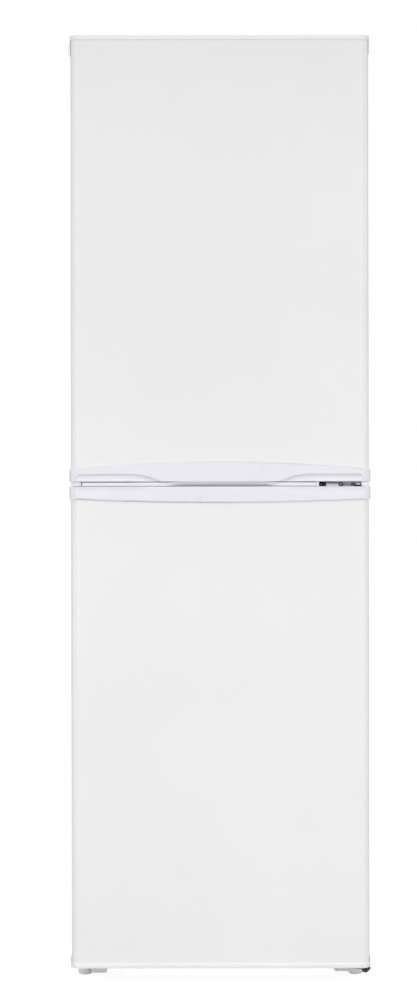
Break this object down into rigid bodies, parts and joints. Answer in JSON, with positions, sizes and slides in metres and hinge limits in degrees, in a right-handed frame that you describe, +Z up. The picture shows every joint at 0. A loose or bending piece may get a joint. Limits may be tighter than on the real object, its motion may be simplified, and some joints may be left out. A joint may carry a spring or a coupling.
{
  "type": "refrigerator",
  "caption": "Free-standing white fridge-freezer with a fridge door above a freezer door, both hinged on the right, with shelves, drawers, condenser and compressor.",
  "frame": {"origin": "on the floor, under the middle of the object's box", "axes": "+Z up, -Y out of the doors towards the user, +X to the user's right, where the hinges are"},
  "size_m": [0.55, 0.6, 1.74],
  "materials": {
    "enamelled_steel": "white coil-coated sheet steel, semi-gloss",
    "white_moulding": "white injection-moulded plastic",
    "trim_moulding": "cool white injection-moulded ABS",
    "liner_plastic": "white vacuum-formed HIPS",
    "insulation_foam": "cream polyurethane foam",
    "galvanised_steel": "galvanised sheet steel",
    "zinc_plated_steel": "zinc-plated pressed steel",
    "black_enamel": "black enamel on steel",
    "grey_rubber": "dark moulded rubber",
    "black_plastic": "dark moulded nylon",
    "gasket_pvc": "soft white PVC extrusion",
    "copper": "drawn copper tube",
    "clear_plastic": "clear moulded polystyrene",
    "drawer_plastic": "frosted moulded polystyrene",
    "tempered_glass": "tempered flat glass",
    "lens_plastic": "frosted moulded lamp lens",
    "evaporator_aluminium": "bare aluminium sheet and tube"
  },
  "bodies": {
    "cabinet": {"side_panel_left": "enamelled_steel", "side_panel_right": "enamelled_steel", "worktop": "white_moulding", "back_panel": "galvanised_steel", "bottom_pan": "galvanised_steel", "insulation": "insulation_foam", "fridge_liner": "liner_plastic", "freezer_liner": "liner_plastic", "front_rails": "enamelled_steel", "top_hinge": "zinc_plated_steel", "middle_hinge": "zinc_plated_steel", "bottom_hinge": "enamelled_steel", "bottom_hinge_clip": "black_plastic", "hinge_screws": "zinc_plated_steel", "gap_blanking_plug": "white_moulding", "gap_strip": "white_moulding", "support_bracket_left": "enamelled_steel", "compressor_base": "galvanised_steel", "compressor": "black_enamel", "compressor_grommets": "grey_rubber", "terminal_cover": "black_plastic", "refrigerant_pipes": "copper", "filter_drier": "copper", "condenser_tube": "black_enamel", "condenser_wires": "black_enamel", "condenser_clips": "black_plastic", "evaporation_tray": "black_plastic", "cable_gland": "black_plastic", "thermostat_housing": "white_moulding", "lamp_lens": "lens_plastic", "evaporator_shelves": "evaporator_aluminium", "shelf_glass": "tempered_glass", "crisper_cover_glass": "tempered_glass", "shelf_trims": "white_moulding"},
    "upper_door": {"upper_door_skin": "enamelled_steel", "upper_door_top_cap": "white_moulding", "upper_door_handle": "trim_moulding", "upper_door_foam": "insulation_foam", "upper_door_liner": "liner_plastic", "upper_door_gasket": "gasket_pvc", "upper_door_bushes": "black_plastic", "door_shelves": "clear_plastic"},
    "lower_door": {"lower_door_skin": "enamelled_steel", "lower_door_handle": "trim_moulding", "lower_door_bottom_cap": "white_moulding", "lower_door_foam": "insulation_foam", "lower_door_liner": "liner_plastic", "lower_door_gasket": "gasket_pvc", "lower_door_bushes": "black_plastic"},
    "crisper_left": {"crisper_left": "clear_plastic"},
    "crisper_right": {"crisper_right": "clear_plastic"},
    "freezer_drawer_1": {"freezer_drawer_1": "drawer_plastic"},
    "freezer_drawer_2": {"freezer_drawer_2": "drawer_plastic"},
    "freezer_drawer_3": {"freezer_drawer_3": "drawer_plastic"},
    "freezer_drawer_4": {"freezer_drawer_4": "drawer_plastic"},
    "thermostat_knob": {"thermostat_knob": "white_moulding"},
    "foot_left": {"foot_left": "white_moulding"},
    "foot_right": {"foot_right": "white_moulding"},
    "roller_left": {"roller_left": "black_plastic"},
    "roller_right": {"roller_right": "black_plastic"}
  },
  "joints": [
    {"name": "upper_door_hinge", "type": "hinge", "parent": "cabinet", "child": "upper_door", "pos_m": [0.256, -0.266, 1.322], "axis": [0, 0, 1], "range_deg": [0, 130]},
    {"name": "lower_door_hinge", "type": "hinge", "parent": "cabinet", "child": "lower_door", "pos_m": [0.256, -0.266, 0.469], "axis": [0, 0, 1], "range_deg": [0, 130]},
    {"name": "crisper_left_slide", "type": "slide", "parent": "cabinet", "child": "crisper_left", "axis": [0, -1, 0], "range_m": [0, 0.227]},
    {"name": "crisper_right_slide", "type": "slide", "parent": "cabinet", "child": "crisper_right", "axis": [0, -1, 0], "range_m": [0, 0.137]},
    {"name": "freezer_drawer_1_slide", "type": "slide", "parent": "cabinet", "child": "freezer_drawer_1", "axis": [0, -1, 0], "range_m": [0, 0.155]},
    {"name": "freezer_drawer_2_slide", "type": "slide", "parent": "cabinet", "child": "freezer_drawer_2", "axis": [0, -1, 0], "range_m": [0, 0.155]},
    {"name": "freezer_drawer_3_slide", "type": "slide", "parent": "cabinet", "child": "freezer_drawer_3", "axis": [0, -1, 0], "range_m": [0, 0.155]},
    {"name": "freezer_drawer_4_slide", "type": "slide", "parent": "cabinet", "child": "freezer_drawer_4", "axis": [0, -1, 0], "range_m": [0, 0.155]},
    {"name": "thermostat_knob_turn", "type": "hinge", "parent": "cabinet", "child": "thermostat_knob", "pos_m": [0.2, -0.08, 1.57], "axis": [-1, 0, 0], "range_deg": [0, 270]},
    {"name": "foot_left_turn", "type": "hinge", "parent": "cabinet", "child": "foot_left", "pos_m": [-0.252, -0.212, 0.02], "axis": [0, 0, 1], "continuous": true},
    {"name": "roller_left_spin", "type": "hinge", "parent": "cabinet", "child": "roller_left", "pos_m": [-0.24, 0.242, 0.011], "axis": [1, 0, 0], "continuous": true},
    {"name": "foot_right_turn", "type": "hinge", "parent": "cabinet", "child": "foot_right", "pos_m": [0.252, -0.212, 0.02], "axis": [0, 0, 1], "continuous": true},
    {"name": "roller_right_spin", "type": "hinge", "parent": "cabinet", "child": "roller_right", "pos_m": [0.24, 0.242, 0.011], "axis": [1, 0, 0], "continuous": true}
  ],
  "couplings": [
    {"joint": "crisper_left_slide", "follows": "upper_door_hinge", "m_per_rad": 0.1},
    {"joint": "crisper_right_slide", "follows": "upper_door_hinge", "m_per_rad": 0.06},
    {"joint": "freezer_drawer_1_slide", "follows": "lower_door_hinge", "m_per_rad": 0.068},
    {"joint": "freezer_drawer_2_slide", "follows": "lower_door_hinge", "m_per_rad": 0.068},
    {"joint": "freezer_drawer_3_slide", "follows": "lower_door_hinge", "m_per_rad": 0.068},
    {"joint": "freezer_drawer_4_slide", "follows": "lower_door_hinge", "m_per_rad": 0.068}
  ]
}
